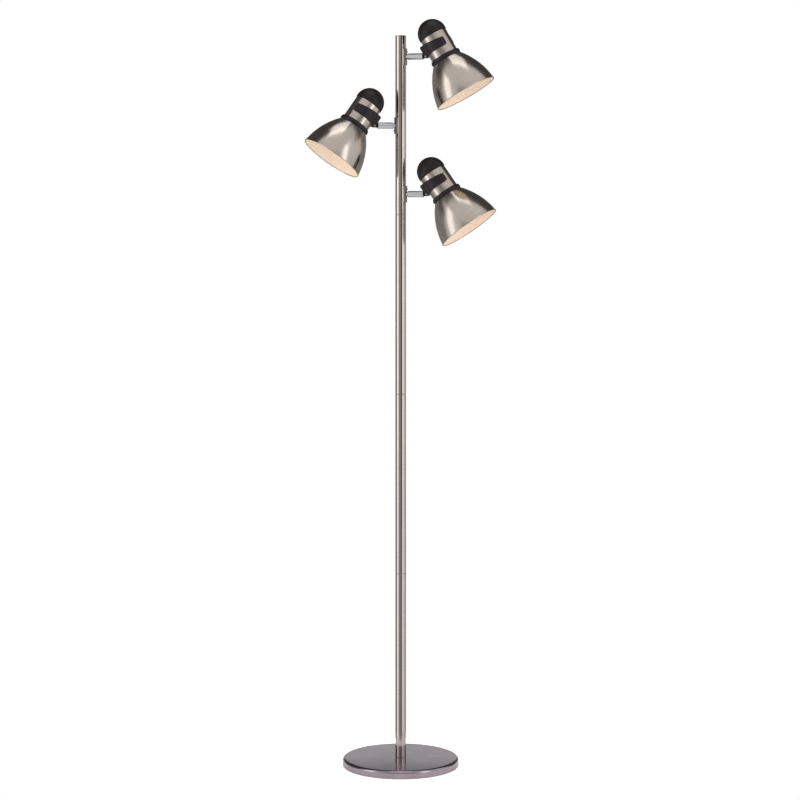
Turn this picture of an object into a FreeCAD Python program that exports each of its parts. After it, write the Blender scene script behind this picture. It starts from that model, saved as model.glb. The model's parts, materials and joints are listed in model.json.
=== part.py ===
import FreeCAD, Part
import math
import os

# Tree floor lamp: weighted disc base, four-section pole, three adjustable heads. Millimetres.
# The origin is the centre of the base's underside, +Z is up the pole, +X is to the right seen from
# the front and -Y faces the viewer.

# Base
base_radius = 132.0
base_height = 19.0
base_edge_radius = 6.0
cover_wall = 1.2
cover_lift = 1.0           # the cover's lower edge stays off the floor
pad_thickness = 2.0
pad_inset = 4.0            # the pad's edge, in from the cover's outside
weight_gap = 0.8           # between the weight's rim and the cover's inside
nut_pocket_radius = 20.0
nut_pocket_depth = 8.0
relief_inner_radius = 30.0  # ring-shaped hollow in the casting's underside
relief_outer_radius = 116.0
relief_depth = 5.0
channel_width = 8.0        # for the supply cord, under the weight
inlet_height = 8.0
inlet_bore_radius = 3.0
grommet_neck_radius = 4.4
grommet_flange_radius = 5.4
grommet_flange_thickness = 1.2
grommet_pocket_gap = 2.0   # round the inner flange, in the weight
grommet_pocket_depth = 12.0

# Stud and nut that join base and pole
stud_radius = 6.0
stud_bore_radius = 4.0
stud_rise = 12.0           # above the cover's top
stud_end = 4.0             # lower end, above the floor
nut_across_flats = 19.0
nut_height = 5.0
nut_flange_radius = 15.0
nut_flange_thickness = 1.5

# Pole
pole_radius = 12.0
pole_wall = 1.0
seam_chamfer = 0.4
bottom_length = 423.3
lower_length = 407.4
upper_length = 401.5
top_length = 393.8
bush_length = 15.0
nipple_plug_length = 14.0
nipple_rise = 12.0
cap_thickness = 1.2
cap_crown = 1.0
cap_plug_length = 8.0

# Arms
top_arm_drop = 45.5        # from the tube's top end to the highest arm's axis
low_arm_rise = 45.3        # from the top section's foot to the lowest arm's axis
arm_radius = 7.0
arm_end_chamfer = 1.2
arm_bore_radius = 5.0
neck_radius = 4.5
neck_bore_radius = 2.6
neck_show = 2.6            # bare neck between plate and arm
arm_length = 38.0
arm_nut_across_flats = 10.0
arm_nut_height = 3.6
arm_nut_gap = 0.4          # friction washer space inside the tube
neck_end = 4.6             # inner end of the neck, from the pole's axis

# Saddle plates
plate_thickness = 2.5
plate_height = 37.0
plate_width = 16.4
plate_corner_radius = 3.0
plate_screw_offset = 11.0
plate_screw_radius = 1.5
plate_screw_head_radius = 2.6
plate_screw_head_height = 1.6
plate_screw_length = 7.0
pan_rounding = 0.55        # share of a screw head's height that its edge rounding takes
recess_width = 0.8         # crossed drive recess of the screws
recess_span = 3.2
recess_depth = 0.9
hook_width = 5.0
hook_thickness = 1.6
hook_drop = 3.0
hook_play = 0.2            # between the lip and the tube's inner face

# Knuckle hinge between arm and head
knuckle_gap = 7.8          # arm's end to hinge axis
tongue_thickness = 5.0
eye_radius = 4.4
ear_thickness = 3.8
pivot_screw_radius = 1.5
pivot_head_radius = 2.8
pivot_head_height = 1.5
pivot_nut_across_flats = 5.0
pivot_nut_height = 2.0
spigot_length = 12.0
spigot_relief = 1.0        # the arm's bore goes this much deeper
hinge_offset = 36.8        # hinge axis from the head's own axis
hinge_height = 117.0       # hinge axis above the shade's mouth
tilt_limit_out = 40.0      # from hanging straight down, mouth away from the pole
tilt_limit_in = 5.0

# Shade
mouth_radius = 70.5
shade_height = 86.0
shade_top_radius = 34.4    # where the side would meet the flat top, before rounding
shade_bow_radius = 158.0
shoulder_radius = 3.6
shade_wall = 0.8
bead_radius = 1.0
shade_hole_radius = 20.0

# Collar, housing, bracket and dome
collar_height = 10.0
collar_edge_radius = 33.4
collar_bulge_radius = 35.1
collar_web = 4.0
collar_spigot_height = 4.0
collar_spigot_wall = 1.8
housing_radius = 31.0
housing_wall = 0.8
housing_length = 51.7
housing_edge_radius = 1.2
band_thickness = 2.5
band_half_angle = 142.0
band_end_radius = 3.5
bracket_top = 135.0        # upper edge at the head's axis, above the shade's mouth
bracket_rake = 8.0         # the upper edge falls away from the pole by this angle
block_reach = 38.6         # flat outer face of the block from the head's axis
block_corner_radius = 4.0
block_root_half_width = 20.0
block_face_half_width = 11.0
block_edge_radius = 1.2
dome_radius = 32.3
dome_skirt = 4.1
dome_wall = 2.0
dome_gap = 0.3
dome_boss_radius = 5.5
stem_radius = 3.0
stem_end = 136.0           # lower end of the dome's stem, above the mouth
switch_floor = 135.0       # bottom of the bore that the stem turns in

# Lampholder and bulb, heights above the shade's mouth
nose_radius = 19.5
nose_bore_radius = 17.5
nose_end = 79.0
holder_flange_radius = 25.0
holder_flange_thickness = 2.5
holder_bore_radius = 14.7
holder_step = 97.0
holder_floor = 125.0
holder_shoulder = 128.0
switch_radius = 16.0
switch_top = 143.0
bushing_radius = 5.0
bushing_top = 150.0
shade_nut_radius = 26.0
shade_nut_height = 4.0
shade_nut_notches = 6
shade_nut_notch_radius = 2.5
shell_radius = 14.5
shell_wall = 0.5
shell_low_gap = 2.0        # above the step in the bore
shell_top_gap = 1.0        # below the floor, clear of the centre contact
contact_radius = 4.0
contact_thickness = 0.6
bulb_cap_radius = 13.2
bulb_cap_length = 25.0
bulb_cap_taper = 5.0       # length of the tapered end of the cap
bulb_insulator_rim = 2.0   # round the bulb's own contact
bulb_contact_rise = 1.0
bulb_length = 106.0
bulb_radius = 30.0
bulb_neck_radius = 12.6
glass_wall = 1.0
bulb_waist_angle = 35.0    # above the bulb's middle, where the round end turns into the waist
bulb_waist_blend = 0.6     # how long the waist's bends are, as a share of the radius

# Clearances
cut_past = 1.0             # how far a cut runs on past the face it opens
running_clearance = 0.05   # a shaft that turns in a hole
thread_clearance = 0.05
hole_clearance = 0.3
side_clearance = 0.1       # each side of the tongue

# Each head: name, turn of its arm about the pole from +X, swivel of the arm about its own line, tilt of
# the shade from hanging, plate's screw above (1) or below (-1) the arm
heads = (
    ("top", -23.0, 5.5, 29.6, 1),
    ("middle", 198.0, 1.0, 35.9, -1),
    ("low", -19.5, 2.0, 35.2, 1),
)

# Heights that follow from the sizes above
bottom_seam = base_height + bottom_length
lower_seam = bottom_seam + lower_length
upper_seam = lower_seam + upper_length
pole_top = upper_seam + top_length
arm_pitch = (top_length - top_arm_drop - low_arm_rise) / (len(heads) - 1)
tube_bore_radius = pole_radius - pole_wall
plate_outside = pole_radius + plate_thickness
arm_start = plate_outside + neck_show
arm_end = arm_start + arm_length
hinge_reach = arm_end + knuckle_gap
collar_top = shade_height + collar_height
housing_top = collar_top + housing_length
cover_ceiling = base_height - cover_wall
slot_half_width = tongue_thickness / 2 + side_clearance
ear_outside = slot_half_width + ear_thickness

x_axis = FreeCAD.Vector(1, 0, 0)
y_axis = FreeCAD.Vector(0, 1, 0)
z_axis = FreeCAD.Vector(0, 0, 1)
centre = FreeCAD.Vector(0, 0, 0)


def in_section(radius, height):
    return FreeCAD.Vector(radius, 0, height)


def spun(edges):
    """Solid of revolution about Z of a closed outline of edges in the XZ plane."""
    return Part.Face(Part.Wire(edges)).revolve(centre, z_axis, 360)


def turned(*points):
    """Solid of revolution about Z of a straight-sided outline of (radius, height) points."""
    corners = [in_section(*point) for point in points]
    return spun(Part.makePolygon(corners + corners[:1]).Edges)


def ring(outer, inner, low, high):
    return turned((inner, low), (outer, low), (outer, high), (inner, high))


def rod(radius, low, high, axis=z_axis, through=centre):
    """Cylinder from low to high along an axis through a point."""
    return Part.makeCylinder(radius, high - low, through + axis * low, axis)


def block(x, y, z):
    """Box from three (low, high) pairs."""
    size = [high - low for low, high in (x, y, z)]
    return Part.makeBox(*size, FreeCAD.Vector(x[0], y[0], z[0]))


def hexagon(across_flats, low, high, axis=z_axis, through=centre):
    corner = across_flats / math.sqrt(3)
    points = [FreeCAD.Vector(corner * math.cos(math.pi / 3 * n), corner * math.sin(math.pi / 3 * n), 0)
              for n in range(7)]
    prism = Part.Face(Part.makePolygon(points)).extrude(z_axis * (high - low))
    turn = FreeCAD.Rotation(z_axis, axis)
    return placed(prism, FreeCAD.Placement(through + axis * low, turn))


def rim_edges(shape, radius, height):
    """The circular edges about Z that have this radius and height."""
    return [edge for edge in shape.Edges
            if isinstance(edge.Curve, Part.Circle)
            and abs(edge.Curve.Radius - radius) < 1e-4
            and abs(edge.Curve.Center.z - height) < 1e-4]


def placed(shape, placement):
    moved = shape.copy()
    moved.Placement = placement.multiply(moved.Placement)
    return moved


def save(name, shape):
    shape.exportStep(f"parts/{name}.step")


# Base ------------------------------------------------------------------------------------------

def base_cover():
    """Pressed disc shell with a rounded top edge, a stud hole and a cord hole at the rear."""
    outside = rod(base_radius, cover_lift, base_height)
    outside = outside.makeFillet(base_edge_radius, rim_edges(outside, base_radius, base_height))
    inner_radius = base_radius - cover_wall
    inside = rod(inner_radius, 0, cover_ceiling)
    inside = inside.makeFillet(base_edge_radius - cover_wall, rim_edges(inside, inner_radius, cover_ceiling))
    stud_hole = rod(stud_radius + hole_clearance, 0, base_height + cut_past)
    inlet = inlet_rod(grommet_neck_radius + thread_clearance, grommet_pocket_depth, grommet_pocket_depth)
    return outside.cut(inside).cut(stud_hole).cut(inlet)


def inlet_rod(radius, inward, outward):
    """Rod along the cord inlet at the rear, from inside to outside the cover's wall."""
    through = FreeCAD.Vector(0, base_radius, inlet_height)
    return rod(radius, -inward, outward, y_axis, through)


def base_weight():
    """Cast disc, hollowed below, with a nut pocket, a cord channel and a pocket behind the grommet."""
    rim = base_radius - cover_wall - weight_gap
    disc = rod(rim, pad_thickness, cover_ceiling)
    disc = disc.makeFillet(base_edge_radius - cover_wall, rim_edges(disc, rim, cover_ceiling))
    pocket_ceiling = pad_thickness + nut_pocket_depth
    disc = disc.cut(rod(stud_radius + hole_clearance, 0, base_height))
    disc = disc.cut(rod(nut_pocket_radius, 0, pocket_ceiling))
    disc = disc.cut(ring(relief_outer_radius, relief_inner_radius, 0, pad_thickness + relief_depth))
    half = channel_width / 2
    disc = disc.cut(block((-half, half), (0, base_radius), (0, pocket_ceiling)))
    wide = grommet_flange_radius + grommet_pocket_gap
    deep = base_radius - grommet_pocket_depth
    return disc.cut(block((-wide, wide), (deep, base_radius), (0, inlet_height + wide)))


def base_pad():
    return rod(base_radius - pad_inset, 0, pad_thickness)


def base_stud():
    return ring(stud_radius, stud_bore_radius, stud_end, base_height + stud_rise)


def base_nut():
    ceiling = pad_thickness + nut_pocket_depth
    flange_low = ceiling - nut_flange_thickness
    body = hexagon(nut_across_flats, flange_low - nut_height, flange_low)
    body = body.fuse(rod(nut_flange_radius, flange_low, ceiling))
    return body.cut(rod(stud_radius + thread_clearance, 0, base_height))


def cord_grommet():
    """Rubber bush in the cover's rear wall, with a flange on each side of it."""
    flange = grommet_flange_thickness
    sag = base_radius - math.sqrt(base_radius ** 2 - grommet_flange_radius ** 2)
    body = inlet_rod(grommet_neck_radius, cover_wall + sag + flange, flange)
    outer = inlet_rod(grommet_flange_radius, -thread_clearance, flange)
    inner = inlet_rod(grommet_flange_radius, cover_wall + sag + flange, -cover_wall - sag - thread_clearance)
    bore = inlet_rod(inlet_bore_radius, grommet_pocket_depth, grommet_pocket_depth)
    return body.fuse([outer, inner]).cut(bore).removeSplitter()


# Pole ------------------------------------------------------------------------------------------

def pole_tube(low, high):
    """Tube with a small outside chamfer at each end, which shows as a fine groove at a seam."""
    chamfer = seam_chamfer
    return turned((tube_bore_radius, low), (pole_radius - chamfer, low), (pole_radius, low + chamfer),
                  (pole_radius, high - chamfer), (pole_radius - chamfer, high), (tube_bore_radius, high))


def pole_top_tube():
    """The top section, with a neck hole, a hook slot and a screw hole for each arm."""
    tube = pole_tube(upper_seam, pole_top)
    inner, outer = tube_bore_radius - cut_past, plate_outside
    half_hook = hook_width / 2 + hole_clearance
    for name, turn, swivel, tilt, side in heads:
        neck_hole = rod(neck_radius + hole_clearance, 0, outer, x_axis)
        screw_hole = rod(plate_screw_radius, 0, outer, x_axis, z_axis * plate_screw_offset * side)
        far = plate_screw_offset + hook_thickness + hook_drop + hole_clearance
        slot_z = sorted((-side * (plate_screw_offset - hole_clearance), -side * far))
        slot = block((inner, outer), (-half_hook, half_hook), slot_z)
        tube = tube.cut([placed(cutter, arm_placement(name)) for cutter in (neck_hole, screw_hole, slot)])
    return tube


def pole_bushes():
    """Four alike: a threaded bush pressed in the foot of every section."""
    feet = (base_height, bottom_seam, lower_seam, upper_seam)
    return Part.makeCompound([ring(tube_bore_radius, stud_radius + thread_clearance, foot, foot + bush_length)
                              for foot in feet])


def pole_nipples():
    """Three alike: a plug in the head of a section with a hollow threaded rise into the next bush."""
    plug, bore, rise = tube_bore_radius, stud_bore_radius, stud_radius
    return Part.makeCompound([
        turned((bore, seam - nipple_plug_length), (plug, seam - nipple_plug_length), (plug, seam),
               (rise, seam), (rise, seam + nipple_rise), (bore, seam + nipple_rise))
        for seam in (bottom_seam, lower_seam, upper_seam)])


def pole_cap():
    """Plug with a head that is crowned by an arc."""
    edge = pole_top + cap_thickness
    crown = Part.Arc(in_section(0, edge + cap_crown),
                     in_section(pole_radius / 2, edge + cap_crown * 3 / 4),
                     in_section(pole_radius, edge)).toShape()
    corners = [(pole_radius, edge), (pole_radius, pole_top), (tube_bore_radius - thread_clearance, pole_top),
               (tube_bore_radius - thread_clearance, pole_top - cap_plug_length),
               (0, pole_top - cap_plug_length), (0, edge + cap_crown)]
    sides = Part.makePolygon([in_section(*corner) for corner in corners]).Edges
    return spun([crown] + sides)


# Arms, built along +X from the pole's axis at height zero ---------------------------------------

def arm_placement(name):
    """From the arm's own frame to the lamp's."""
    place = [head[0] for head in heads].index(name)
    height = pole_top - top_arm_drop - arm_pitch * place
    return FreeCAD.Placement(z_axis * height, FreeCAD.Rotation(z_axis, heads[place][1]))


def swivelled(name):
    """From the arm's own frame to the lamp's, with the arm turned about its own line."""
    swivel = {head[0]: head[2] for head in heads}[name]
    return arm_placement(name).multiply(FreeCAD.Placement(centre, FreeCAD.Rotation(x_axis, swivel)))


def saddle_plate(side):
    """Curved plate with rounded corners, a bore for the neck, a screw hole and a hook."""
    shell = ring(plate_outside, pole_radius, -plate_height / 2, plate_height / 2)
    half = plate_width / 2
    outline = block((0, plate_outside + cut_past), (-half, half), (-plate_height / 2, plate_height / 2))
    corners = [edge for edge in outline.Edges
               if len(edge.Vertexes) == 2 and abs(edge.Vertexes[0].X - edge.Vertexes[1].X) > 1]
    plate = shell.common(outline.makeFillet(plate_corner_radius, corners))
    plate = plate.fuse(saddle_hook(side))
    plate = plate.cut(rod(neck_radius + running_clearance, 0, plate_outside + cut_past, x_axis))
    screw_line = z_axis * plate_screw_offset * side
    return plate.cut(rod(plate_screw_radius + hole_clearance, 0, plate_outside + cut_past, x_axis, screw_line))


def saddle_hook(side):
    """Tab that goes through the tube's wall and lips behind it, at the end away from the screw."""
    half = hook_width / 2
    near = -side * plate_screw_offset
    far = -side * (plate_screw_offset + hook_thickness)
    tip = -side * (plate_screw_offset + hook_thickness + hook_drop)
    inside = tube_bore_radius - hook_thickness - hook_play
    tab = block((inside, pole_radius + plate_thickness / 2), (-half, half), sorted((near, far)))
    lip = block((inside, inside + hook_thickness), (-half, half), sorted((near, tip)))
    return tab.fuse(lip)


def saddle_screw(side):
    """Pan-head screw from the plate's face into the tube."""
    line = z_axis * plate_screw_offset * side
    head = rod(plate_screw_head_radius, plate_outside, plate_outside + plate_screw_head_height, x_axis, line)
    top = [edge for edge in head.Edges if isinstance(edge.Curve, Part.Circle)
           and edge.Curve.Center.x > plate_outside + plate_screw_head_height / 2]
    head = head.makeFillet(plate_screw_head_height * pan_rounding, top)
    head = head.cut(cross_recess(plate_outside + plate_screw_head_height, x_axis, line))
    shank_start = plate_outside - plate_screw_length
    shank = rod(plate_screw_radius - thread_clearance, shank_start, plate_outside, x_axis, line)
    return head.fuse(shank)


def cross_recess(top, axis, through):
    """Cutter for a crossed drive recess, sunk into a screw's head from its top."""
    half, reach = recess_width / 2, recess_span / 2
    depth = (top - recess_depth, top + cut_past)
    cross = block((-half, half), (-reach, reach), depth).fuse(block((-reach, reach), (-half, half), depth))
    return placed(cross, FreeCAD.Placement(through, FreeCAD.Rotation(z_axis, axis)))


def arm():
    """Turned tube with chamfered ends and a thin hollow neck, spun about Z and laid along X."""
    chamfer = arm_end_chamfer
    bore_start = arm_end - spigot_length - spigot_relief
    body = turned((neck_bore_radius, neck_end), (neck_radius, neck_end), (neck_radius, arm_start),
                  (arm_radius - chamfer, arm_start), (arm_radius, arm_start + chamfer),
                  (arm_radius, arm_end - chamfer), (arm_radius - chamfer, arm_end),
                  (arm_bore_radius, arm_end), (arm_bore_radius, bore_start), (neck_bore_radius, bore_start))
    return placed(body, FreeCAD.Placement(centre, FreeCAD.Rotation(y_axis, 90)))


def arm_nut():
    """Nut on the neck inside the tube, clear of the tube's curved wall."""
    half_corner = arm_nut_across_flats / math.sqrt(3)
    outer = math.sqrt(tube_bore_radius ** 2 - half_corner ** 2) - arm_nut_gap
    nut = hexagon(arm_nut_across_flats, outer - arm_nut_height, outer, x_axis)
    return nut.cut(rod(neck_radius + thread_clearance, 0, pole_radius, x_axis))


def knuckle():
    """Spigot in the arm's end and a flat tongue with a round eye on the hinge axis."""
    spigot = rod(arm_bore_radius - thread_clearance, arm_end - spigot_length, arm_end, x_axis)
    half = tongue_thickness / 2
    strip = block((arm_end, hinge_reach), (-half, half), (-eye_radius, eye_radius))
    pin_line = x_axis * hinge_reach
    eye = rod(eye_radius, -half, half, y_axis, pin_line)
    pin_hole = rod(pivot_screw_radius + running_clearance, -ear_outside, ear_outside, y_axis, pin_line)
    return spigot.fuse([strip, eye]).removeSplitter().cut(pin_hole)


# Heads, built along Z with the shade's mouth at height zero and the pole on the -X side -----------

def head_placement(name):
    """From the head's own frame to the lamp's: hinge to the arm's end, tilted, then with the arm."""
    tilt = {head[0]: head[3] for head in heads}[name]
    to_hinge = FreeCAD.Placement(FreeCAD.Vector(hinge_offset, 0, -hinge_height), FreeCAD.Rotation())
    tilted = FreeCAD.Placement(x_axis * hinge_reach, FreeCAD.Rotation(y_axis, -tilt))
    return swivelled(name).multiply(tilted).multiply(to_hinge)


def hinge_line():
    return FreeCAD.Vector(-hinge_offset, 0, hinge_height)


def pivot_screw():
    """Hinge screw through ears and tongue, and its nut."""
    line = hinge_line()
    shank = rod(pivot_screw_radius, -ear_outside - pivot_nut_height, ear_outside, y_axis, line)
    head = rod(pivot_head_radius, ear_outside, ear_outside + pivot_head_height, y_axis, line)
    top = [edge for edge in head.Edges if isinstance(edge.Curve, Part.Circle)
           and edge.Curve.Center.y > ear_outside + pivot_head_height / 2]
    head = head.makeFillet(pivot_head_height * pan_rounding, top)
    head = head.cut(cross_recess(ear_outside + pivot_head_height, y_axis, line))
    nut_low = -ear_outside - pivot_nut_height
    nut = hexagon(pivot_nut_across_flats, nut_low, -ear_outside, y_axis, line)
    nut = nut.cut(rod(pivot_screw_radius + thread_clearance, nut_low - cut_past, 0, y_axis, line))
    return Part.makeCompound([shank.fuse(head), nut])


def bracket():
    """C-band round the housing with a tapered block and two hinge ears, moulded in one."""
    inner = housing_radius + running_clearance
    body = bracket_band(inner, inner + band_thickness).fuse([bracket_block(), bracket_ears()])
    body = body.cut(rod(inner, collar_top, housing_top)).cut(tongue_slot())
    line = hinge_line()
    hole = rod(pivot_screw_radius + thread_clearance, -ear_outside, ear_outside, y_axis, line)
    seats = [rod(pivot_head_radius + hole_clearance, ear_outside, block_root_half_width, y_axis, line),
             rod(pivot_head_radius + hole_clearance, -block_root_half_width, -ear_outside, y_axis, line)]
    return body.cut([hole] + seats).removeSplitter()


def raked_prism(near, far, half_width):
    """Flat below and raked above, between two distances along X from the head's axis."""
    low = hinge_height - eye_radius
    slope = math.tan(math.radians(bracket_rake))
    corners = [FreeCAD.Vector(near, -half_width, low), FreeCAD.Vector(far, -half_width, low),
               FreeCAD.Vector(far, -half_width, bracket_top - slope * far),
               FreeCAD.Vector(near, -half_width, bracket_top - slope * near)]
    return Part.Face(Part.makePolygon(corners + corners[:1])).extrude(y_axis * (2 * half_width))


def bracket_band(inner, outer):
    """Band under the raked plane, open away from the pole, with rounded corners at its two ends."""
    band = ring(outer, inner, collar_top, housing_top).common(raked_prism(-outer, outer, outer))
    band = band.cut(band_opening(outer + band_thickness))
    end_x = -inner * math.cos(math.radians(band_half_angle))
    corners = [edge for edge in band.Edges
               if abs(edge.Length - band_thickness) < 0.1
               and all(abs(abs(vertex.Y) / vertex.X - math.tan(math.radians(180 - band_half_angle))) < 1e-3
                       for vertex in edge.Vertexes) and edge.CenterOfMass.x > end_x - band_thickness]
    return band.makeFillet(band_end_radius, corners)


def band_opening(reach):
    """Wedge on the side away from the pole, which leaves the band its two ends."""
    half = math.radians(180 - band_half_angle)
    far = reach / math.cos(half)
    corners = [z_axis * collar_top,
               FreeCAD.Vector(far * math.cos(half), -far * math.sin(half), collar_top),
               FreeCAD.Vector(far * math.cos(half), far * math.sin(half), collar_top)]
    return Part.Face(Part.makePolygon(corners + corners[:1])).extrude(z_axis * housing_length)


def bracket_block():
    """Block that tapers to a flat face towards the pole, with rounded corners above and below."""
    root_x = -math.sqrt(housing_radius ** 2 - block_root_half_width ** 2) + cut_past
    root, face = block_root_half_width, block_face_half_width
    body = raked_prism(-block_reach, root_x, root)
    body = body.makeFillet(block_corner_radius, face_edges(body, "Z"))
    corners = [FreeCAD.Vector(root_x, -root, collar_top), FreeCAD.Vector(root_x, root, collar_top),
               FreeCAD.Vector(-block_reach, face, collar_top), FreeCAD.Vector(-block_reach, -face, collar_top)]
    column = Part.Face(Part.makePolygon(corners + corners[:1])).extrude(z_axis * housing_length)
    return body.common(column.makeFillet(block_edge_radius, face_edges(column, "Y")))


def face_edges(shape, level):
    """The straight edges of the block's outer face along which this coordinate is the same."""
    return [edge for edge in shape.Edges
            if all(abs(vertex.X + block_reach) < 1e-6 for vertex in edge.Vertexes)
            and abs(getattr(edge.Vertexes[0], level) - getattr(edge.Vertexes[1], level)) < 1e-6]


def bracket_ears():
    """Rounded ears that carry the hinge screw, joined up into the block."""
    line = hinge_line()
    round_end = rod(eye_radius, -ear_outside, ear_outside, y_axis, line)
    web = block((-block_reach, line.x + eye_radius), (-ear_outside, ear_outside), (line.z, bracket_top))
    return round_end.fuse(web)


def tongue_slot():
    """Slot between the ears that the tongue sweeps through between its limits."""
    line = hinge_line()
    half = slot_half_width
    clear = eye_radius + hole_clearance
    length = block_reach + eye_radius
    sweep = rod(clear, -half, half, y_axis, line)
    for tilt in (-tilt_limit_in, tilt_limit_out / 2, tilt_limit_out):
        lane = block((-length, 0), (-half, half), (-clear, clear))
        turn = FreeCAD.Rotation(y_axis, tilt)
        sweep = sweep.fuse(placed(lane, FreeCAD.Placement(line, turn)))
    return sweep.fuse(block((line.x - length, line.x), (-half, half), (line.z - 2 * clear, line.z + clear)))


def housing():
    """Drawn cup over the lampholder, open below, with a hole in its end for the switch bushing."""
    outside = rod(housing_radius, collar_top, housing_top)
    outside = outside.makeFillet(housing_edge_radius, rim_edges(outside, housing_radius, housing_top))
    inner_radius = housing_radius - housing_wall
    inside = rod(inner_radius, collar_top, housing_top - housing_wall)
    return outside.cut(inside).cut(rod(bushing_radius + hole_clearance, collar_top, housing_top))


def collar():
    """Moulded ring with a bulging outside, a web over the shade and a spigot in the housing."""
    spigot_outside = housing_radius - housing_wall - thread_clearance
    spigot_inside = spigot_outside - collar_spigot_wall
    spigot_top = collar_top + collar_spigot_height
    bulge = Part.Arc(in_section(collar_edge_radius, shade_height),
                     in_section(collar_bulge_radius, shade_height + collar_height / 2),
                     in_section(collar_edge_radius, collar_top)).toShape()
    corners = [(collar_edge_radius, collar_top), (spigot_outside, collar_top), (spigot_outside, spigot_top),
               (spigot_inside, spigot_top), (spigot_inside, shade_height + collar_web),
               (shade_hole_radius, shade_height + collar_web), (shade_hole_radius, shade_height),
               (collar_edge_radius, shade_height)]
    sides = Part.makePolygon([in_section(*corner) for corner in corners]).Edges
    return spun([bulge] + sides)


def bell(inset):
    """Solid bell under an arc, set in by a wall, with its top edge rounded."""
    chord = math.hypot(mouth_radius - shade_top_radius, shade_height)
    middle = ((mouth_radius + shade_top_radius) / 2, shade_height / 2)
    across = math.sqrt(shade_bow_radius ** 2 - (chord / 2) ** 2) / chord
    bow_centre = (middle[0] - across * shade_height, middle[1] - across * (mouth_radius - shade_top_radius))
    bow = shade_bow_radius - inset
    top = shade_height - inset

    def side(height):
        return bow_centre[0] + math.sqrt(bow ** 2 - (height - bow_centre[1]) ** 2)

    arc = Part.Arc(in_section(side(0), 0), in_section(side(top / 2), top / 2),
                   in_section(side(top), top)).toShape()
    rest = Part.makePolygon([in_section(side(top), top), in_section(0, top),
                             in_section(0, 0), in_section(side(0), 0)]).Edges
    solid = spun([arc] + rest)
    return solid.makeFillet(shoulder_radius - inset, rim_edges(solid, side(top), top))


def shade():
    """Spun bell with a rolled bead round its mouth and a hole in its flat top."""
    shell = bell(0).cut(bell(shade_wall))
    shell = shell.cut(rod(shade_hole_radius, shade_height - shoulder_radius, shade_height))
    bead_path = mouth_radius - shade_wall / 2
    bead = Part.makeTorus(bead_path, bead_radius, z_axis * bead_radius)
    return shell.fuse(bead)


def shade_nut():
    """Notched retaining ring on the lampholder's nose, under the shade's flat top."""
    high = shade_height - shade_wall
    low = high - shade_nut_height
    nut = ring(shade_nut_radius, nose_radius + thread_clearance, low, high)
    grip = rod(shade_nut_notch_radius, low, high, z_axis, x_axis * shade_nut_radius)
    turns = [FreeCAD.Rotation(z_axis, 360 / shade_nut_notches * n) for n in range(shade_nut_notches)]
    return nut.cut([placed(grip, FreeCAD.Placement(centre, turn)) for turn in turns])


def lampholder():
    """Moulded holder: threaded nose, flange on the collar's web, socket bore and rotary switch above."""
    flange_low = shade_height + collar_web
    flange_high = flange_low + holder_flange_thickness
    stem_bore = stem_radius + running_clearance
    return turned((nose_bore_radius, nose_end), (nose_radius, nose_end), (nose_radius, flange_low),
                  (holder_flange_radius, flange_low), (holder_flange_radius, flange_high),
                  (nose_radius, flange_high), (nose_radius, holder_shoulder), (switch_radius, holder_shoulder),
                  (switch_radius, switch_top), (bushing_radius, switch_top), (bushing_radius, bushing_top),
                  (stem_bore, bushing_top), (stem_bore, switch_floor), (0, switch_floor), (0, holder_floor),
                  (holder_bore_radius, holder_floor), (holder_bore_radius, holder_step),
                  (nose_bore_radius, holder_step))


def socket_contacts():
    """Screw shell in the lampholder's bore and the centre contact on its floor."""
    low, high = holder_step + shell_low_gap, holder_floor - shell_top_gap
    shell = ring(shell_radius, shell_radius - shell_wall, low, high)
    contact = rod(contact_radius, holder_floor - contact_thickness, holder_floor)
    return Part.makeCompound([shell, contact])


def bulb_tip():
    return holder_floor - contact_thickness


def bulb_base():
    """Screw cap with a tapered insulator and a centre contact."""
    tip = bulb_tip()
    low = tip - bulb_cap_length
    rim, step = contact_radius + bulb_insulator_rim, tip - bulb_contact_rise
    return turned((0, low), (bulb_cap_radius, low), (bulb_cap_radius, tip - bulb_cap_taper), (rim, step),
                  (contact_radius, step), (contact_radius, tip), (0, tip))


def bulb_outline(inset, cap_edge):
    """Solid glass outline: round end, then a waist that narrows to the neck at the cap."""
    tip = bulb_tip() - bulb_length
    radius = bulb_radius - inset
    neck = bulb_neck_radius - inset
    middle = tip + bulb_radius
    blend = bulb_waist_blend * radius
    across, along = math.cos(math.radians(bulb_waist_angle)), math.sin(math.radians(bulb_waist_angle))
    start = in_section(radius * across, middle + radius * along)
    round_end = Part.Arc(in_section(0, middle - radius), in_section(radius * across, middle - radius * along),
                         start).toShape()
    waist = Part.BezierCurve()
    waist.setPoles([start, start + in_section(-along, across) * blend,
                    in_section(neck, cap_edge - blend), in_section(neck, cap_edge)])
    rest = Part.makePolygon([in_section(neck, cap_edge), in_section(0, cap_edge),
                             in_section(0, middle - radius)]).Edges
    return spun([round_end, waist.toShape()] + rest)


def bulb_glass():
    cap_edge = bulb_tip() - bulb_cap_length
    inside = bulb_outline(glass_wall, cap_edge - glass_wall)
    return bulb_outline(0, cap_edge).cut(inside)


def switch_dome():
    """Domed knob: short skirt, round end, and a stem from an inner boss down into the switch."""
    low = housing_top + dome_gap
    spring = low + dome_skirt
    outside = dome_solid(dome_radius, low, spring)
    inside = dome_solid(dome_radius - dome_wall, low, spring)
    boss = rod(dome_boss_radius, bushing_top + dome_gap, spring + dome_radius)
    stem = rod(stem_radius, stem_end, spring + dome_radius)
    core = boss.fuse(stem).common(dome_solid(dome_radius - dome_wall / 2, stem_end, spring))
    return outside.cut(inside).fuse(core).removeSplitter()


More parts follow.
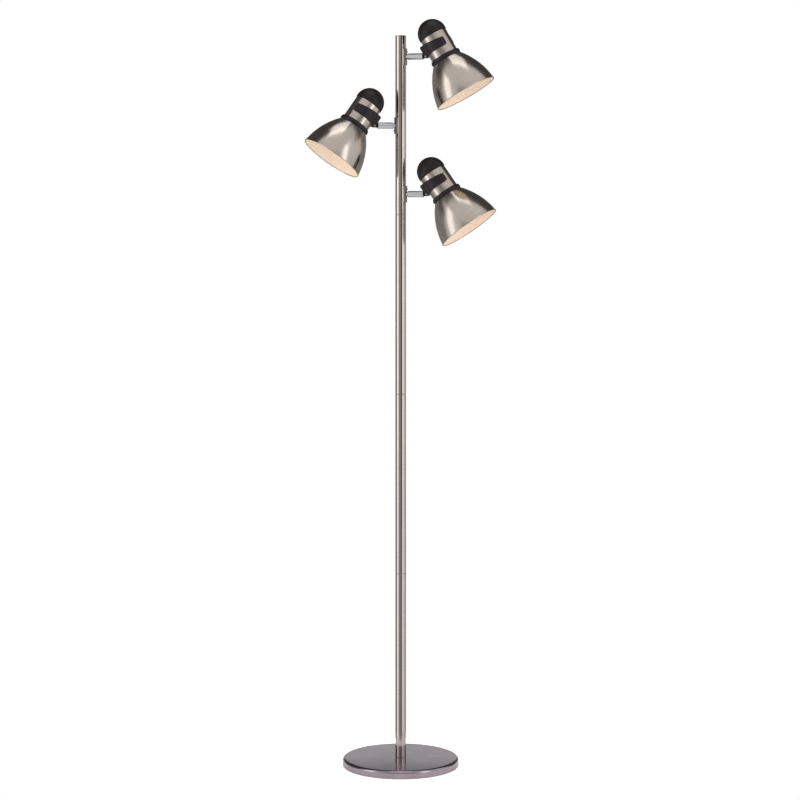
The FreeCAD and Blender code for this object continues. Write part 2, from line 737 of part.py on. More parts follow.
def dome_solid(radius, low, spring):
    """Cylinder from low to spring with a round end above."""
    end = Part.Arc(in_section(radius, spring),
                   in_section(radius * math.cos(math.pi / 4), spring + radius * math.sin(math.pi / 4)),
                   in_section(0, spring + radius)).toShape()
    rest = Part.makePolygon([in_section(0, spring + radius), in_section(0, low),
                             in_section(radius, low), in_section(radius, spring)]).Edges
    return spun([end] + rest)


# Write every piece -----------------------------------------------------------------------------

os.makedirs("parts", exist_ok=True)

stand_pieces = {
    "base_cover": base_cover(),
    "base_weight": base_weight(),
    "base_pad": base_pad(),
    "base_stud": base_stud(),
    "base_nut": base_nut(),
    "cord_grommet": cord_grommet(),
    "pole_bottom": pole_tube(base_height, bottom_seam),
    "pole_lower": pole_tube(bottom_seam, lower_seam),
    "pole_upper": pole_tube(lower_seam, upper_seam),
    "pole_top": pole_top_tube(),
    "pole_bushes": pole_bushes(),
    "pole_nipples": pole_nipples(),
    "pole_cap": pole_cap(),
    "saddle_screws": Part.makeCompound([placed(saddle_screw(side), arm_placement(name))
                                        for name, turn, swivel, tilt, side in heads]),
}
for piece, shape in stand_pieces.items():
    save(piece, shape)

arm_pieces = {"arm": arm(), "arm_nut": arm_nut(), "knuckle": knuckle()}
head_pieces = {
    "pivot_screw": pivot_screw(),
    "bracket": bracket(),
    "housing": housing(),
    "collar": collar(),
    "shade": shade(),
    "shade_nut": shade_nut(),
    "lampholder": lampholder(),
    "socket_contacts": socket_contacts(),
    "bulb_base": bulb_base(),
    "bulb_glass": bulb_glass(),
    "switch_dome": switch_dome(),
}
for name, turn, swivel, tilt, side in heads:
    save(f"{name}_saddle_plate", placed(saddle_plate(side), arm_placement(name)))
    for piece, shape in arm_pieces.items():
        save(f"{name}_{piece}", placed(shape, swivelled(name)))
    for piece, shape in head_pieces.items():
        save(f"{name}_{piece}", placed(shape, head_placement(name)))
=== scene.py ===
import json
import math
import bpy
from mathutils import Matrix, Vector


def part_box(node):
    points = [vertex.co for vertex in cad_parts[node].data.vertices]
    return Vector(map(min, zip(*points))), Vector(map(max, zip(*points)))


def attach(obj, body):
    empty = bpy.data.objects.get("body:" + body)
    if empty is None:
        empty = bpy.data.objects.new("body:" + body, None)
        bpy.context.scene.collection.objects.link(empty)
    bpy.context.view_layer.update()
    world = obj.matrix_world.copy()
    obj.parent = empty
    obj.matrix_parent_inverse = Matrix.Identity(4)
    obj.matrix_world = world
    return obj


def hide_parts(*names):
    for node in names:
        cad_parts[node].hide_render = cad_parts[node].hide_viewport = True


# Tree floor lamp, dressed for looks. Metres, in the CAD's frame: +Z up the pole, -Y towards the viewer.

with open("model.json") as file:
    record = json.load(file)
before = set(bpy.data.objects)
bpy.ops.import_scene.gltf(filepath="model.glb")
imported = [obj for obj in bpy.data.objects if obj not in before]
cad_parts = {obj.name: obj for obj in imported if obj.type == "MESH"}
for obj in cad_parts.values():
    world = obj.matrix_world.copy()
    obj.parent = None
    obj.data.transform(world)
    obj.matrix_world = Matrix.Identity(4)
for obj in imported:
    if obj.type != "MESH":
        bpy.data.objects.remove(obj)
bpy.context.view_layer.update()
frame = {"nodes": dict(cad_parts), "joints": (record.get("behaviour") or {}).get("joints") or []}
joints = {joint["name"]: joint for joint in frame["joints"]}
heads = ("top", "middle", "low")


def linear(hexCode):  # sRGB hex to the linear colour that shaders take
    parts = [int(hexCode[i:i + 2], 16) / 255 for i in (1, 3, 5)]
    return tuple(c / 12.92 if c <= 0.04045 else ((c + 0.055) / 1.055) ** 2.4 for c in parts) + (1.0,)


def addNode(owner, kind, settings=None, inputs=None):  # adds a node with its settings, values and links
    tree = owner.node_tree
    node = tree.nodes.new(kind)
    for key, value in (settings or {}).items():
        setattr(node, key, value)
    for key, value in (inputs or {}).items():
        if isinstance(value, bpy.types.NodeSocket):
            tree.links.new(value, node.inputs[key])
        else:
            node.inputs[key].default_value = value
    return node


def newMaterial(name, constants):
    material = bpy.data.materials.new(name)
    material.use_nodes = True
    shader = material.node_tree.nodes["Principled BSDF"]
    for key, value in constants.items():
        shader.inputs[key].default_value = value
    return material, shader


def wire(material, shader, sockets):  # links each output to the shader's socket of that name
    for key, output in sockets.items():
        material.node_tree.links.new(output, shader.inputs[key])


noiseSpread = {"one": (0.3, 0.7), "two": (0.7, 1.3)}  # where one noise, or two added up, mostly lies
spinning = {"spacing": 0.0007,     # tool lines lie about 0.15 mm apart, drawn coarser so that they show
            "run": 0.06,           # length of a line before it fades, round the axis
            "depth": 0.0000008, "blotch": 0.04, "smoother": 0.02, "rougher": 0.03}


def spunSteel(name, light, dark, roughness, anisotropy):
    # steel formed, brushed and nickel plated: lines run round the axis, and highlights stretch across them
    material, shader = newMaterial(name, {"Metallic": 1.0, "Anisotropic": anisotropy,
                                          "Anisotropic Rotation": 0.25})
    place = addNode(material, "ShaderNodeAttribute", {"attribute_name": "asMade"}).outputs["Vector"]
    along = (1 / spinning["run"], 1 / spinning["run"], 1 / spinning["spacing"])
    stretched = addNode(material, "ShaderNodeVectorMath", {"operation": "MULTIPLY"}, {0: place, 1: along})
    lines = addNode(material, "ShaderNodeTexNoise", None,
                    {"Vector": stretched.outputs[0], "Scale": 1.0, "Detail": 2.0}).outputs[0]
    blotches = addNode(material, "ShaderNodeTexNoise", None,
                       {"Vector": place, "Scale": 1 / spinning["blotch"], "Detail": 3.0}).outputs[0]
    both = addNode(material, "ShaderNodeMath", {"operation": "ADD"}, {0: lines, 1: blotches})
    low, high = noiseSpread["two"]
    tone = addNode(material, "ShaderNodeMapRange", None,
                   {0: both.outputs[0], 1: low, 2: high, 3: 0.0, 4: 1.0})
    colour = addNode(material, "ShaderNodeMix", {"data_type": "RGBA"},
                     {0: tone.outputs[0], 6: linear(dark), 7: linear(light)})
    low, high = noiseSpread["one"]
    gloss = addNode(material, "ShaderNodeMapRange", None,
                    {0: lines, 1: low, 2: high,
                     3: roughness - spinning["smoother"], 4: roughness + spinning["rougher"]})
    bump = addNode(material, "ShaderNodeBump", None, {"Height": lines, "Distance": spinning["depth"]})
    tangent = addNode(material, "ShaderNodeTangent", {"direction_type": "UV_MAP", "uv_map": "round"})
    wire(material, shader, {"Base Color": colour.outputs[2], "Roughness": gloss.outputs[0],
                            "Normal": bump.outputs[0], "Tangent": tangent.outputs[0]})
    return material


graining = {"patch": 30,  # slow changes in tone are this many grains wide
            "smoother": 0.9, "rougher": 1.12}


def grained(name, light, dark, roughness, grain, depth, constants):
    # an even surface with the grain that its making leaves, in metres: a real one is mostly finer than
    # a pixel, so it is drawn a few times coarser, to show in a close view
    material, shader = newMaterial(name, constants)
    place = addNode(material, "ShaderNodeTexCoord").outputs["Object"]
    grains = addNode(material, "ShaderNodeTexNoise", None,
                     {"Vector": place, "Scale": 1 / grain, "Detail": 3.0, "Roughness": 0.6}).outputs[0]
    patches = addNode(material, "ShaderNodeTexNoise", None,
                      {"Vector": place, "Scale": 1 / (grain * graining["patch"]), "Detail": 2.0}).outputs[0]
    both = addNode(material, "ShaderNodeMath", {"operation": "ADD"}, {0: grains, 1: patches})
    low, high = noiseSpread["two"]
    tone = addNode(material, "ShaderNodeMapRange", None,
                   {0: both.outputs[0], 1: low, 2: high, 3: 0.0, 4: 1.0})
    colour = addNode(material, "ShaderNodeMix", {"data_type": "RGBA"},
                     {0: tone.outputs[0], 6: linear(dark), 7: linear(light)})
    low, high = noiseSpread["one"]
    gloss = addNode(material, "ShaderNodeMapRange", None,
                    {0: grains, 1: low, 2: high,
                     3: roughness * graining["smoother"], 4: roughness * graining["rougher"]})
    bump = addNode(material, "ShaderNodeBump", None, {"Height": grains, "Distance": depth})
    wire(material, shader, {"Base Color": colour.outputs[2], "Roughness": gloss.outputs[0],
                            "Normal": bump.outputs[0]})
    return material


metal = {"Metallic": 1.0}
moulding = {"IOR": 1.53, "Specular IOR Level": 0.25}

# Heads: warm grey, broad plain planes of light and streaks that run from collar to mouth
headNickel = spunSteel("spunSteelBrushedNickel", "#c9bfb6", "#b8ada4", 0.20, 0.55)
# Base: pressed steel with a cooler, mauve satin nickel, calm enough to mirror the pole
baseNickel = spunSteel("pressedSteelSatinNickel", "#aca0a8", "#978a91", 0.20, 0.2)
# Pole: drawn tube polished along its length, crisp upright reflections, warm above; a painted reflection
# makes it darker and mauve near the floor
tubeNickel = grained("drawnTubePolishedNickel", "#d2c7bf", "#c7bcb4", 0.11, 0.003, 0.0000003, metal)
# colour and heights of the painted reflection on the lower pole
footReflectionPaint = {"colour": "#e8e4ed", "low": 0.1, "high": 1.1}


# painted reflection: multiplies the tube's colour darker and mauve, fully up to 0.1 m and fading out by 1.1
# m
def paintFootReflection(material):
    shader = material.node_tree.nodes["Principled BSDF"]
    place = addNode(material, "ShaderNodeTexCoord").outputs["Object"]
    height = addNode(material, "ShaderNodeSeparateXYZ", None, {0: place}).outputs["Z"]
    share = addNode(material, "ShaderNodeMapRange", None,
                    {0: height, 1: footReflectionPaint["low"], 2: footReflectionPaint["high"], 3: 1.0, 4: 0.0})
    plain = shader.inputs["Base Color"].links[0].from_socket
    reflectionTinted = addNode(material, "ShaderNodeMix", {"data_type": "RGBA", "blend_type": "MULTIPLY"},
                     {0: share.outputs[0], 6: plain, 7: linear(footReflectionPaint["colour"])})
    wire(material, shader, {"Base Color": reflectionTinted.outputs[2]})


# the lower pole gets its painted reflection
paintFootReflection(tubeNickel)
# Arms: turned bar, chromium plated, nearly a mirror
armChrome = grained("turnedBarChromePlated", "#d4d4d6", "#c9c9cb", 0.07, 0.003, 0.0000003, metal)
# Saddle plates: stamped and tumbled, so a little duller than the tube that they sit on
plateNickel = grained("stampedPlateNickel", "#b0a69f", "#9d938c", 0.24, 0.002, 0.000002, metal)
# Screws and nuts: bright zinc plate, slightly cloudy
zincPlate = grained("zincPlatedSteel", "#b5b3ae", "#96948f", 0.30, 0.0015, 0.000004, metal)
# Ballast: grey iron as cast, sandy skin under a thin black paint
castIron = grained("castIronBlacked", "#4a4846", "#2f2d2c", 0.62, 0.0012, 0.00008, {"Metallic": 0.8})
# Contacts: rolled brass, soft yellow gleam
brassSheet = grained("rolledBrass", "#c9a45c", "#b08a48", 0.28, 0.002, 0.000003, metal)
# Bulb cap: drawn aluminium, pale and a little dull
capAluminium = grained("drawnAluminium", "#c3c4c6", "#adaeb0", 0.34, 0.0015, 0.000005, metal)
# Collar, bracket and knuckle: ABS from a spark-eroded mould, black with a faint violet cast
blackAbs = grained("mouldedAbsBlack", "#231b21", "#1a1419", 0.40, 0.0006, 0.000008, moulding)
# Dome: the same plastic from a finer matt mould
domeAbs = grained("mouldedAbsMattBlack", "#1e1817", "#151110", 0.44, 0.0005, 0.00001, moulding)
# Lampholder: phenolic, brown-black, slightly glossier than ABS
phenolic = grained("mouldedPhenolic", "#2b2826", "#201d1c", 0.36, 0.0008, 0.000008, {"IOR": 1.6})
# Grommet: moulded rubber, dull black
rubberBush = grained("mouldedRubberBlack", "#232223", "#181718", 0.72, 0.0006, 0.00003, {"IOR": 1.52})
# Pad: pressed wool felt, matted fibres catch a little light at a slant
woolFelt = grained("pressedWoolFelt", "#343236", "#1d1c1e", 0.92, 0.0008, 0.0002,
                   {"Sheen Weight": 0.35, "Sheen Roughness": 0.5})
# Inside of the shade: baked enamel, warm white, faint orange peel
warmEnamel = grained("bakedEnamelWarmWhite", "#fbead6", "#f8e3cd", 0.46, 0.003, 0.00002, {"IOR": 1.5})
# Bulb: clear glass with a milk-white coating inside
opalGlass = grained("opalBulbGlass", "#f8f2e8", "#f2eade", 0.16, 0.01, 0.0000005,
                    {"IOR": 1.5, "Subsurface Weight": 0.3, "Subsurface Radius": (0.01, 0.008, 0.006)})
print("materials ready")


def deselect():
    if bpy.context.object and bpy.context.object.mode != "OBJECT":
        bpy.ops.object.mode_set(mode="OBJECT")
    bpy.ops.object.select_all(action="DESELECT")


def arcPoints(centre, radius, start, end, count):  # angles in degrees, from +X towards +Z
    turns = [math.radians(start + (end - start) * i / count) for i in range(count + 1)]
    return [(centre[0] + radius * math.cos(turn), centre[1] + radius * math.sin(turn)) for turn in turns]


# first square, merging distance, smooth up to degrees
drawing = {"seed": 0.002, "weld": 0.000002, "smooth": 32}


def spinProfile(name, outline, steps):  # draws a closed outline in the XZ plane from one point, and spins it
    deselect()
    first = outline[0]
    bpy.ops.mesh.primitive_plane_add(size=drawing["seed"], location=(first[0], 0, first[1]))
    bpy.ops.object.transform_apply(location=True, rotation=False, scale=False)
    bpy.ops.object.mode_set(mode="EDIT")
    bpy.ops.mesh.select_mode(type="VERT")
    bpy.ops.mesh.merge(type="CENTER")
    for last, point in zip(outline, outline[1:] + [first]):
        step = (point[0] - last[0], 0, point[1] - last[1])
        bpy.ops.mesh.extrude_vertices_move(TRANSFORM_OT_translate={"value": step})
    bpy.ops.mesh.select_all(action="SELECT")
    bpy.ops.mesh.remove_doubles(threshold=drawing["weld"])
    bpy.ops.mesh.spin(steps=steps, angle=2 * math.pi, center=(0, 0, 0), axis=(0, 0, 1))
    bpy.ops.mesh.select_all(action="SELECT")
    bpy.ops.mesh.remove_doubles(threshold=drawing["weld"])
    bpy.ops.mesh.normals_make_consistent(inside=False)
    bpy.ops.object.mode_set(mode="OBJECT")
    bpy.ops.object.shade_smooth_by_angle(angle=math.radians(drawing["smooth"]))
    piece = bpy.context.object
    piece.name = name
    markRound(piece.data)
    return piece


def markRound(mesh):  # keeps each point's place as made, and a UV map that runs round the axis
    made = mesh.attributes.new("asMade", "FLOAT_VECTOR", "POINT")
    for vertex in mesh.vertices:
        made.data[vertex.index].vector = vertex.co
    roundMap = mesh.uv_layers.new(name="round")
    for face in mesh.polygons:
        middle = math.atan2(face.center.y, face.center.x)
        for loop in face.loop_indices:
            place = mesh.vertices[mesh.loops[loop].vertex_index].co
            angle = math.atan2(place.y, place.x) if place.xy.length > 0.00001 else middle
            angle += 2 * math.pi * round((middle - angle) / (2 * math.pi))
            roundMap.data[loop].uv = (angle / (2 * math.pi), place.xy.length + place.z)


def copyOf(piece):
    twin = piece.copy()
    twin.data = piece.data.copy()
    bpy.context.scene.collection.objects.link(twin)
    return twin


def settle(piece, material, name, body, replaced, place=None):  # into its place and onto its body
    piece.name = name
    piece.data.name = name
    if place is not None:
        piece.data.transform(place)
    if not piece.data.materials:
        piece.data.materials.append(material)
    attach(piece, body)
    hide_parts(replaced)


cover = {"radius": 0.13199, "low": 0.001, "top": 0.019, "edge": 0.006, "lip": 0.0003, "wall": 0.0012,
         "studHole": 0.0063, "edgeSteps": 12, "innerSteps": 8, "steps": 160}


def coverPiece():
    outer, inner = cover["radius"], cover["radius"] - cover["wall"]
    low, top, ceiling, lip = cover["low"], cover["top"], cover["top"] - cover["wall"], cover["lip"]
    edge, innerEdge = cover["edge"], cover["edge"] - cover["wall"]
    outline = [(inner, low), (outer - lip, low), (outer, low + lip)]
    outline += arcPoints((outer - edge, top - edge), edge, 0, 90, cover["edgeSteps"])
    outline += [(cover["studHole"], top), (cover["studHole"], ceiling)]
    outline += arcPoints((inner - innerEdge, ceiling - innerEdge), innerEdge, 90, 0, cover["innerSteps"])
    return spinProfile("baseCover", outline, cover["steps"])


pole = {"radius": 0.012, "wall": 0.001, "chamfer": 0.0007, "steps": 96,
        "sections": ("pole_bottom", "pole_lower", "pole_upper", "pole_top")}


def tubePiece(low, high):  # a seam shows as the fine groove between two chamfered ends
    radius, bore, chamfer = pole["radius"], pole["radius"] - pole["wall"], pole["chamfer"]
    outline = [(bore, low), (radius - chamfer, low), (radius, low + chamfer),
               (radius, high - chamfer), (radius - chamfer, high), (bore, high)]
    return spinProfile("poleTube", outline, pole["steps"])


cap = {"thickness": 0.0012, "crown": 0.001, "lip": 0.0002, "plugRadius": 0.0109, "plugLength": 0.008,
       "rings": (1, 0.94, 0.8, 0.6, 0.4, 0.2, 0)}


def capPiece(low):
    radius, edge, foot = pole["radius"], low + cap["thickness"], low - cap["plugLength"]
    outline = [(cap["plugRadius"], foot), (cap["plugRadius"], low),
               (radius - cap["lip"], low), (radius, low + cap["lip"])]
    outline += [(radius * share, edge + cap["crown"] * (1 - share ** 2)) for share in cap["rings"]]
    return spinProfile("poleCap", outline + [(0, foot)], pole["steps"])


settle(coverPiece(), baseNickel, "baseCover", "stand", "base_cover")
for node in pole["sections"]:
    lowest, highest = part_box(node)
    section = node.replace("pole_", "poleTube.")
    settle(tubePiece(lowest[2], highest[2]), tubeNickel, section, "stand", node)
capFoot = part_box("pole_top")[1][2]
settle(capPiece(capFoot), tubeNickel, "poleCap", "stand", "pole_cap")
print("base and pole ready")


# Heads: each piece is modelled once, upright at the origin with the shade's mouth at zero, and copied

shade = {"mouth": 0.07049, "height": 0.086, "top": 0.0344, "bow": 0.158, "shoulder": 0.0036, "wall": 0.0008,
         "bead": 0.001, "beadTurn": (-225, 72), "beadSteps": 18, "sideLow": 0.002, "sideSteps": 40,
         "liningLow": 0.0018, "liningSteps": 30, "enamelLow": 0.0017, "shoulderSteps": 6,
         "hole": 0.020, "steps": 144}


def bowCentre():  # centre of the arc that the bell's side follows, from its two ends and its radius
    across, height = shade["mouth"] - shade["top"], shade["height"]
    chord = math.hypot(across, height)
    out = math.sqrt(shade["bow"] ** 2 - (chord / 2) ** 2) / chord
    return ((shade["mouth"] + shade["top"]) / 2 - out * height, height / 2 - out * across)


def bellSide(inset, low, count):  # the side and the rounded shoulder, set in by a wall
    centre, bow, top = bowCentre(), shade["bow"] - inset, shade["height"] - inset
    small = shade["shoulder"] - inset
    corner = (centre[0] + math.sqrt((bow - small) ** 2 - (top - small - centre[1]) ** 2), top - small)
    turn = math.degrees(math.atan2(corner[1] - centre[1], corner[0] - centre[0]))
    start = math.degrees(math.asin((low - centre[1]) / bow))
    side = arcPoints(centre, bow, start, turn, count)
    return side + arcPoints(corner, small, turn, 90, shade["shoulderSteps"])[1:]


def shadePiece():
    bead, wall, hole, top = shade["bead"], shade["wall"], shade["hole"], shade["height"]
    outline = arcPoints((shade["mouth"] - wall / 2, bead), bead, *shade["beadTurn"], shade["beadSteps"])
    outline += bellSide(0, shade["sideLow"], shade["sideSteps"]) + [(hole, top), (hole, top - wall)]
    outline += bellSide(wall, shade["liningLow"], shade["liningSteps"])[::-1]
    piece = spinProfile("shade", outline, shade["steps"])
    piece.data.materials.append(headNickel)
    piece.data.materials.append(warmEnamel)
    centre, middle = bowCentre(), shade["bow"] - wall / 2
    for face in piece.data.polygons:  # the enamel covers the inside, up from the bead
        reach = math.hypot(face.center.xy.length - centre[0], face.center.z - centre[1])
        if reach < middle and shade["enamelLow"] < face.center.z < top - wall / 2:
            face.material_index = 1
    return piece


housing = {"low": 0.096, "top": 0.1477, "radius": 0.031, "wall": 0.0008, "edge": 0.0012, "hole": 0.0053,
           "edgeSteps": 6, "steps": 128}


def housingPiece():
    radius, top, edge = housing["radius"], housing["top"], housing["edge"]
    inner = radius - housing["wall"]
    ceiling = top - housing["wall"]
    outline = [(inner, housing["low"]), (radius, housing["low"])]
    outline += arcPoints((radius - edge, top - edge), edge, 0, 90, housing["edgeSteps"])
    outline += [(housing["hole"], top), (housing["hole"], ceiling), (inner, ceiling)]
    return spinProfile("housing", outline, housing["steps"])


collar = {"low": 0.086, "top": 0.096, "edge": 0.0334, "bulge": 0.0351, "spigot": 0.03015,
          "spigotTop": 0.100, "spigotBore": 0.02835, "bulgeSteps": 14,
          "web": 0.090, "hole": 0.020, "steps": 128}


def collarPiece():
    half, out = (collar["top"] - collar["low"]) / 2, collar["bulge"] - collar["edge"]
    bow = (half ** 2 + out ** 2) / (2 * out)
    swing = math.degrees(math.asin(half / bow))
    centre = (collar["bulge"] - bow, collar["low"] + half)
    outline = arcPoints(centre, bow, -swing, swing, collar["bulgeSteps"])
    outline += [(collar["spigot"], collar["top"]), (collar["spigot"], collar["spigotTop"]),
                (collar["spigotBore"], collar["spigotTop"]), (collar["spigotBore"], collar["web"]),
                (collar["hole"], collar["web"]), (collar["hole"], collar["low"])]
    return spinProfile("collar", outline, collar["steps"])


dome = {"low": 0.148, "skirt": 0.0041, "radius": 0.03229, "wall": 0.002, "lip": 0.0005, "outerSteps": 32,
        "innerSteps": 20, "steps": 128}


def domePiece():
    low, spring, radius, lip = dome["low"], dome["low"] + dome["skirt"], dome["radius"], dome["lip"]
    inner = radius - dome["wall"]
    outline = [(inner, low), (radius - lip, low), (radius, low + lip)]
    outline += arcPoints((0, spring), radius, 0, 90, dome["outerSteps"])
    outline += arcPoints((0, spring), inner, 90, 0, dome["innerSteps"])
    return spinProfile("dome", outline, dome["steps"])


arm = {"start": 0.0171, "length": 0.038, "radius": 0.007, "chamfer": 0.0012, "neckRadius": 0.0045,
       "neckEnd": 0.0046, "neckBore": 0.0026, "bore": 0.005, "boreDepth": 0.013, "steps": 96}


def armPiece():  # turned upright, laid along X when it is placed
    start, end = arm["start"], arm["start"] + arm["length"]
    chamfer, radius, boreLow = arm["chamfer"], arm["radius"], end - arm["boreDepth"]
    outline = [(arm["neckBore"], arm["neckEnd"]), (arm["neckRadius"], arm["neckEnd"]),
               (arm["neckRadius"], start), (radius - chamfer, start), (radius, start + chamfer),
               (radius, end - chamfer), (radius - chamfer, end), (arm["bore"], end),
               (arm["bore"], boreLow), (arm["neckBore"], boreLow)]
    return spinProfile("arm", outline, arm["steps"])


def headPlace(name):  # Z up the head's own axis, read from its knob's and its hinge's axes
    knob, hinge = joints[f"{name}_switch_turn"], joints[f"{name}_head_tilt"]
    zAxis, yAxis = Vector(knob["axis"]).normalized(), -Vector(hinge["axis"]).normalized()
    xAxis = yAxis.cross(zAxis).normalized()
    origin = Vector(knob["pos_m"]) - zAxis * housing["top"]
    return Matrix.Translation(origin) @ Matrix((xAxis, zAxis.cross(xAxis), zAxis)).transposed().to_4x4()


def armPlace(name):  # the upright arm's Z goes out along the swivel's axis
    swivel, hinge = joints[f"{name}_arm_swivel"], joints[f"{name}_head_tilt"]
    zAxis, yAxis = Vector(swivel["axis"]).normalized(), -Vector(hinge["axis"]).normalized()
    xAxis = yAxis.cross(zAxis).normalized()
    origin = Vector(swivel["pos_m"]) - zAxis * arm["start"]
    return Matrix.Translation(origin) @ Matrix((xAxis, zAxis.cross(xAxis), zAxis)).transposed().to_4x4()


headParts = (  # the piece once, its label, finish, slot, body, and the CAD node that it stands for
    (shadePiece(), "Shade", None, "brushed_head", "lamp_head", "shade"),
    (housingPiece(), "Housing", headNickel, "brushed_head", "lamp_head", "housing"),
    (collarPiece(), "Collar", blackAbs, "black_plastic", "lamp_head", "collar"),
    (domePiece(), "Dome", domeAbs, "black_plastic", "knob", "switch_dome"),
    (armPiece(), "Arm", armChrome, "polished_steel", "swivel_arm", "arm"),
)
for master, label, material, slotName, body, node in headParts:
    for name in heads:
        place = armPlace(name) if node == "arm" else headPlace(name)
        settle(copyOf(master), material, name + label, f"{name}_{body}", f"{name}_{node}", place)
    bpy.data.objects.remove(master)
print("heads ready")


# CAD nodes that keep their own mesh and get the finish of the real piece

nodeFinishes = {
    "base_weight": castIron, "base_pad": woolFelt, "base_stud": zincPlate, "base_nut": zincPlate,
    "cord_grommet": rubberBush, "pole_bushes": zincPlate, "pole_nipples": zincPlate,
    "saddle_screws": zincPlate, "saddle_plate": plateNickel, "arm_nut": zincPlate, "knuckle": blackAbs,
    "pivot_screw": zincPlate, "bracket": blackAbs, "shade_nut": phenolic, "lampholder": phenolic,
    "socket_contacts": brassSheet, "bulb_base": capAluminium, "bulb_glass": opalGlass,
}
for node, shape in frame["nodes"].items():
    side, _, rest = node.partition("_")
    kind = rest if side in heads else node
    if kind in nodeFinishes:
        shape.data.materials.clear()
        shape.data.materials.append(nodeFinishes[kind])
print("CAD nodes finished")


studio = {
    "floorSize": 0.5, "floorColour": "#f0efed",
    "floorGlow": 0.6,  # only the camera sees it, so the shadow stays and metal mirrors the plain paint
    "fill": 1.0,       # what matt surfaces get from all round
    "wall": 0.78, "wallSide": (0.20, -0.94, -0.28), "wallEdge": (-0.30, -0.16),  # pale wall in front
    "beyond": 0.28, "above": 0.06, "aboveRise": (0.05, 0.35),  # past the wall, level and overhead
    "gap": -0.6, "gapRise": (0.28, 0.50), "gapSide": (-0.86, -0.72),  # the wall is dimmer round the viewer
    "flag": -0.7, "flagSide": (0.30, -0.954, 0.0), "flagEdge": (0.975, 0.992),  # dark card beside the viewer
    "backdrop": 0.68, "backdropSide": (0.935, 0.96), "backdropFoot": (0.06, 0.12),  # paper behind the base
}


def paleFloor():
    deselect()
    bpy.ops.mesh.primitive_plane_add(size=studio["floorSize"], location=(0, 0, 0))
    floor = bpy.context.object
    floor.name = "paleFloor"
    material = bpy.data.materials.new("paintedFloorWhite")
    material.use_nodes = True
    tree = material.node_tree
    tree.nodes.remove(tree.nodes["Principled BSDF"])
    path = addNode(material, "ShaderNodeLightPath")
    glow = addNode(material, "ShaderNodeMath", {"operation": "MULTIPLY"},
                   {0: path.outputs["Is Camera Ray"], 1: studio["floorGlow"]})
    paint = addNode(material, "ShaderNodeBsdfDiffuse", None, {"Color": linear(studio["floorColour"])})
    light = addNode(material, "ShaderNodeEmission", None, {"Strength": glow.outputs[0]})
    both = addNode(material, "ShaderNodeAddShader", None, {0: paint.outputs[0], 1: light.outputs[0]})
    tree.links.new(both.outputs[0], tree.nodes["Material Output"].inputs["Surface"])
    floor.data.materials.append(material)


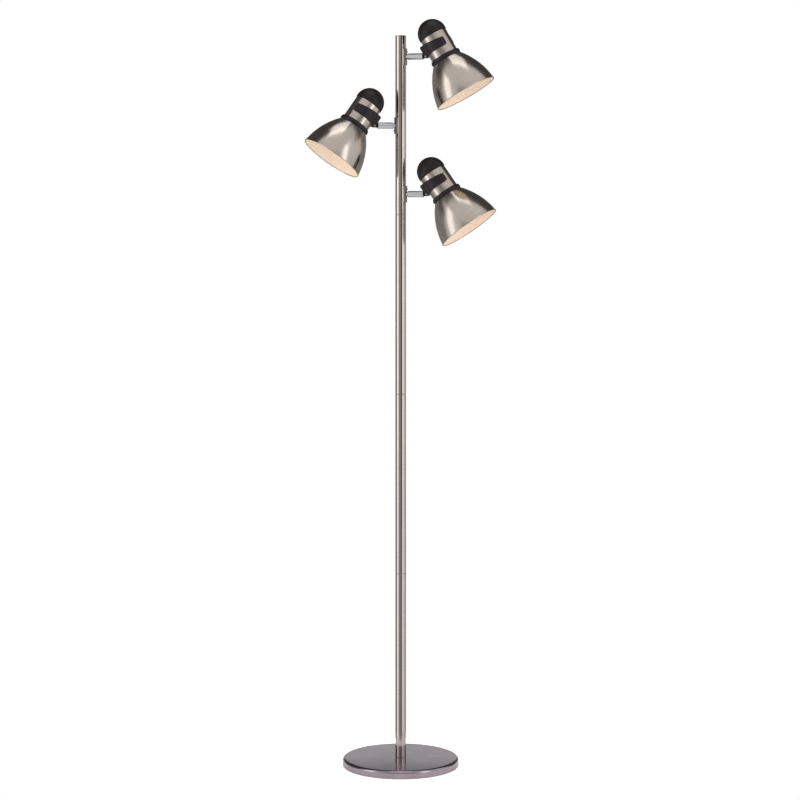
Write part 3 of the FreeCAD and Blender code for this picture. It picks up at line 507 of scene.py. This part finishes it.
def room():
    # white to the camera and through glass, plain fill on matt surfaces; metal alone mirrors a studio,
    # with a pale wall in front, paper behind the base and the dark beyond them
    world = bpy.data.worlds.new("studioRoom")
    bpy.context.scene.world = world
    world.use_nodes = True
    path = addNode(world, "ShaderNodeLightPath")
    toward = addNode(world, "ShaderNodeTexCoord").outputs["Generated"]
    split = addNode(world, "ShaderNodeSeparateXYZ", None, {0: toward})
    smooth = {"interpolation_type": "SMOOTHSTEP"}
    facing = addNode(world, "ShaderNodeVectorMath", {"operation": "DOT_PRODUCT"},
                     {0: toward, 1: studio["wallSide"]})
    low, high = studio["aboveRise"]
    beyond = addNode(world, "ShaderNodeMapRange", smooth,
                     {0: split.outputs["Z"], 1: low, 2: high, 3: studio["beyond"], 4: studio["above"]})
    low, high = studio["wallEdge"]
    wall = addNode(world, "ShaderNodeMapRange", smooth,
                   {0: facing.outputs["Value"], 1: low, 2: high, 3: beyond.outputs[0], 4: studio["wall"]})
    height = addNode(world, "ShaderNodeMath", {"operation": "ABSOLUTE"}, {0: split.outputs["Z"]})
    low, high = studio["gapRise"]
    level = addNode(world, "ShaderNodeMapRange", smooth,
                    {0: height.outputs[0], 1: low, 2: high, 3: studio["gap"], 4: 0.0})
    low, high = studio["gapSide"]
    ahead = addNode(world, "ShaderNodeMapRange", smooth,
                    {0: split.outputs["Y"], 1: low, 2: high, 3: 1.0, 4: 0.0})
    gap = addNode(world, "ShaderNodeMath", {"operation": "MULTIPLY_ADD"},
                  {0: level.outputs[0], 1: ahead.outputs[0], 2: 1.0})
    beside = addNode(world, "ShaderNodeVectorMath", {"operation": "DOT_PRODUCT"},
                     {0: toward, 1: studio["flagSide"]})
    low, high = studio["flagEdge"]
    flag = addNode(world, "ShaderNodeMapRange", smooth,
                   {0: beside.outputs["Value"], 1: low, 2: high, 3: 1.0, 4: 1.0 + studio["flag"]})
    dimmed = addNode(world, "ShaderNodeMath", {"operation": "MULTIPLY"},
                     {0: gap.outputs[0], 1: flag.outputs[0]})
    front = addNode(world, "ShaderNodeMath", {"operation": "MULTIPLY"},
                    {0: wall.outputs[0], 1: dimmed.outputs[0]})
    low, high = studio["backdropSide"]
    back = addNode(world, "ShaderNodeMapRange", smooth,
                   {0: split.outputs["Y"], 1: low, 2: high, 3: 0.0, 4: studio["backdrop"]})
    low, high = studio["backdropFoot"]
    foot = addNode(world, "ShaderNodeMapRange", smooth,
                   {0: split.outputs["Z"], 1: low, 2: high, 3: 0.0, 4: 1.0})
    paper = addNode(world, "ShaderNodeMath", {"operation": "MULTIPLY"},
                    {0: back.outputs[0], 1: foot.outputs[0]})
    mirrored = addNode(world, "ShaderNodeMath", {"operation": "MAXIMUM"},
                       {0: front.outputs[0], 1: paper.outputs[0]})
    extra = addNode(world, "ShaderNodeMath", {"operation": "SUBTRACT"},
                    {0: mirrored.outputs[0], 1: studio["fill"]})
    lit = addNode(world, "ShaderNodeMath", {"operation": "MULTIPLY_ADD"},
                  {0: extra.outputs[0], 1: path.outputs["Is Glossy Ray"], 2: studio["fill"]})
    seen = addNode(world, "ShaderNodeMath", {"operation": "MAXIMUM"},
                   {0: path.outputs["Is Camera Ray"], 1: path.outputs["Is Transmission Ray"]})
    strength = addNode(world, "ShaderNodeMath", {"operation": "MAXIMUM"},
                       {0: seen.outputs[0], 1: lit.outputs[0]})
    ground = world.node_tree.nodes["Background"]
    ground.inputs["Color"].default_value = (1, 1, 1, 1)
    world.node_tree.links.new(strength.outputs[0], ground.inputs["Strength"])


cards = (  # soft boxes: name, place, what it faces, width, height, power in watts
    ("leftStrip", (-2.15, -0.95, 1.1), (0, 0, 1.1), 0.90, 3.4, 11),
    ("rightStrip", (1.76, -1.48, 1.1), (0, 0, 1.1), 0.60, 3.4, 8.5),
    ("overheadSoft", (0.0, 0.0, 3.6), (0, 0, 0.8), 1.3, 1.3, 7),
)


def softBox(name, place, target, width, height, power):
    data = bpy.data.lights.new(name, "AREA")
    data.shape = "RECTANGLE"
    data.size, data.size_y, data.energy = width, height, power
    lamp = bpy.data.objects.new(name, data)
    bpy.context.scene.collection.objects.link(lamp)
    lamp.location = place
    lamp.rotation_euler = (Vector(target) - Vector(place)).to_track_quat("-Z", "Y").to_euler()
    lamp.visible_camera = False


view = {"place": (-0.00157, -5.0763, 1.2983), "tilt": 84.7935, "lens": 102.06, "sensor": 36, "reach": 100}


def studioCamera():
    data = bpy.data.cameras.new("studioCamera")
    data.sensor_width, data.lens, data.clip_end = view["sensor"], view["lens"], view["reach"]
    camera = bpy.data.objects.new("studioCamera", data)
    bpy.context.scene.collection.objects.link(camera)
    camera.location = view["place"]
    camera.rotation_euler = (math.radians(view["tilt"]), 0, 0)
    bpy.context.scene.camera = camera


paleFloor()
room()
for card in cards:
    softBox(*card)
studioCamera()
bpy.context.scene.view_settings.view_transform = "Standard"
print("stage ready")
